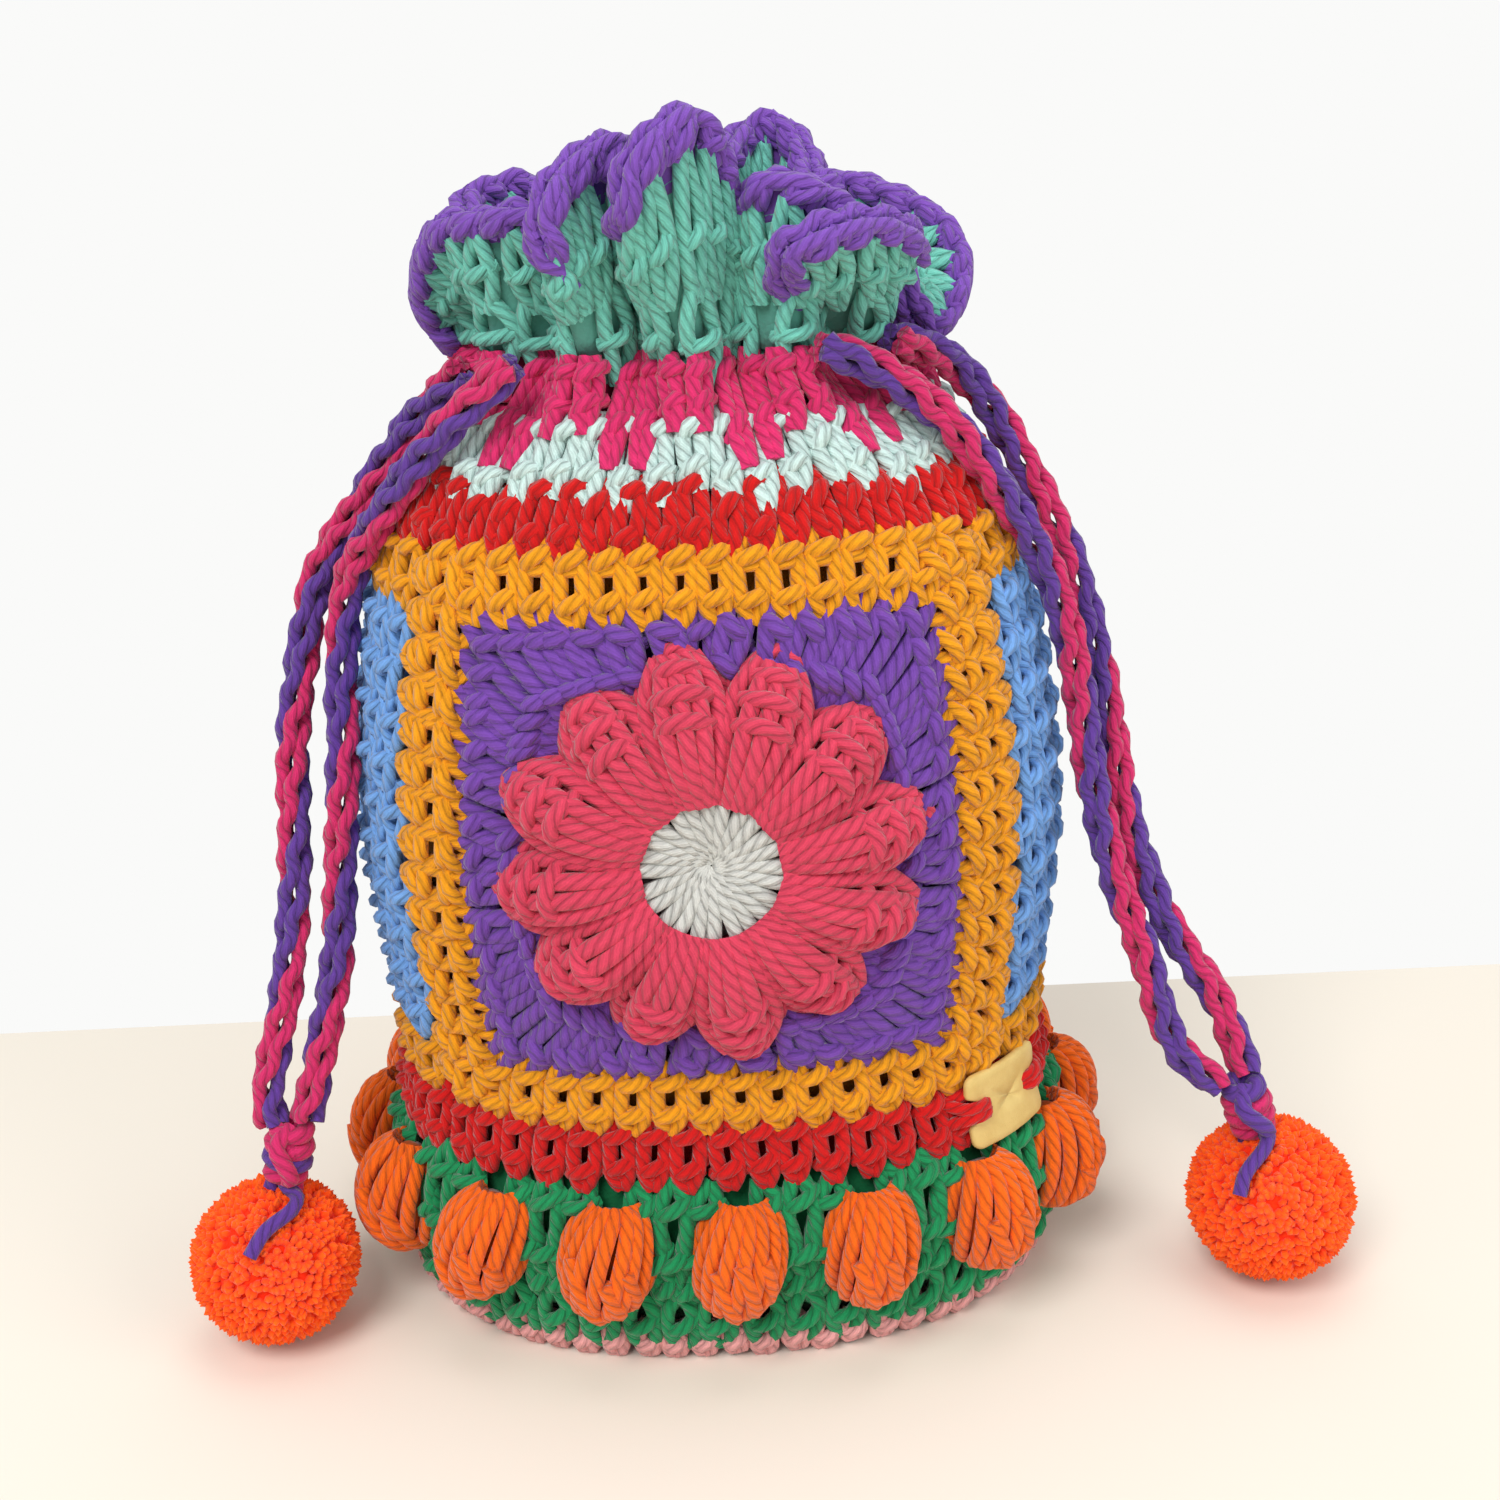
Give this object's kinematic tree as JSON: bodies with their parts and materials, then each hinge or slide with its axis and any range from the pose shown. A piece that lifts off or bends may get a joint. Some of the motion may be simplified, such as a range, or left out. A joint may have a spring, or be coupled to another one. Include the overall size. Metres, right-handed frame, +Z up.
{
  "type": "drawstring pouch",
  "caption": "Round-bottomed crocheted drawstring pouch with a flower square on each face, bobbles round its foot, a gathered ruffled neck and corded pom-poms.",
  "frame": {"origin": "middle of the base's underside, on the floor", "axes": "+Z up from the base to the ruffle, -Y out of the front flower square, +X to the right seen from the front"},
  "size_m": [0.2048, 0.1186, 0.1989],
  "materials": {
    "mustard_yarn": "soft, matt plied yarn in crochet stitches",
    "purple_yarn": "soft, matt plied yarn in crochet stitches",
    "coral_yarn": "soft, matt plied yarn in crochet stitches",
    "grey_yarn": "soft, matt plied yarn in crochet stitches",
    "red_yarn": "soft, matt plied yarn in crochet stitches",
    "green_yarn": "soft, matt plied yarn in crochet stitches",
    "orange_yarn": "soft, matt plied yarn in crochet stitches",
    "pink_yarn": "soft, matt plied yarn in crochet stitches",
    "mint_yarn": "soft, matt plied yarn in crochet stitches",
    "magenta_yarn": "soft, matt plied yarn in crochet stitches",
    "teal_yarn": "soft, matt plied yarn in crochet stitches",
    "blue_yarn": "soft, matt plied yarn in crochet stitches",
    "navy_yarn": "soft, matt plied yarn in crochet stitches",
    "drawcord": "cord of purple and magenta plied yarn, matt",
    "lining_cotton": "plain woven cotton, matt",
    "pompom_yarn": "cut yarn ends, matt and fluffy",
    "tag_leather": "smooth, satin"
  },
  "bodies": {
    "root": {"base_centre_round": "orange_yarn", "base_outer_round": "navy_yarn", "rim_round": "pink_yarn", "green_round": "green_yarn", "lower_red_round": "red_yarn", "bobble_01": "orange_yarn", "bobble_02": "orange_yarn", "bobble_03": "orange_yarn", "bobble_04": "orange_yarn", "bobble_05": "orange_yarn", "bobble_06": "orange_yarn", "bobble_07": "orange_yarn", "bobble_08": "orange_yarn", "bobble_09": "orange_yarn", "bobble_10": "orange_yarn", "bobble_11": "orange_yarn", "bobble_12": "orange_yarn", "bobble_13": "orange_yarn", "bobble_14": "orange_yarn", "bobble_15": "orange_yarn", "bobble_16": "orange_yarn", "front_border_round": "mustard_yarn", "front_field_round": "purple_yarn", "front_petals": "coral_yarn", "front_flower_centre": "grey_yarn", "back_border_round": "mustard_yarn", "back_field_round": "purple_yarn", "back_petals": "coral_yarn", "back_flower_centre": "grey_yarn", "right_side_strip": "blue_yarn", "right_side_lower_row": "mustard_yarn", "right_side_upper_row": "mustard_yarn", "left_side_strip": "blue_yarn", "left_side_lower_row": "mustard_yarn", "left_side_upper_row": "mustard_yarn", "upper_red_round": "red_yarn", "mint_round": "mint_yarn", "magenta_round": "magenta_yarn", "teal_ruffle": "teal_yarn", "edging_round": "purple_yarn", "lining": "lining_cotton", "left_cord_neck": "drawcord", "right_cord_neck": "drawcord", "left_cord_outer": "drawcord", "left_cord_inner": "drawcord", "right_cord_front": "drawcord", "right_cord_back": "drawcord", "left_knot": "drawcord", "right_knot": "drawcord", "left_pompom": "pompom_yarn", "right_pompom": "pompom_yarn", "tag": "tag_leather", "tag_left_stitch": "red_yarn", "tag_right_stitch": "red_yarn"}
  },
  "joints": []
}
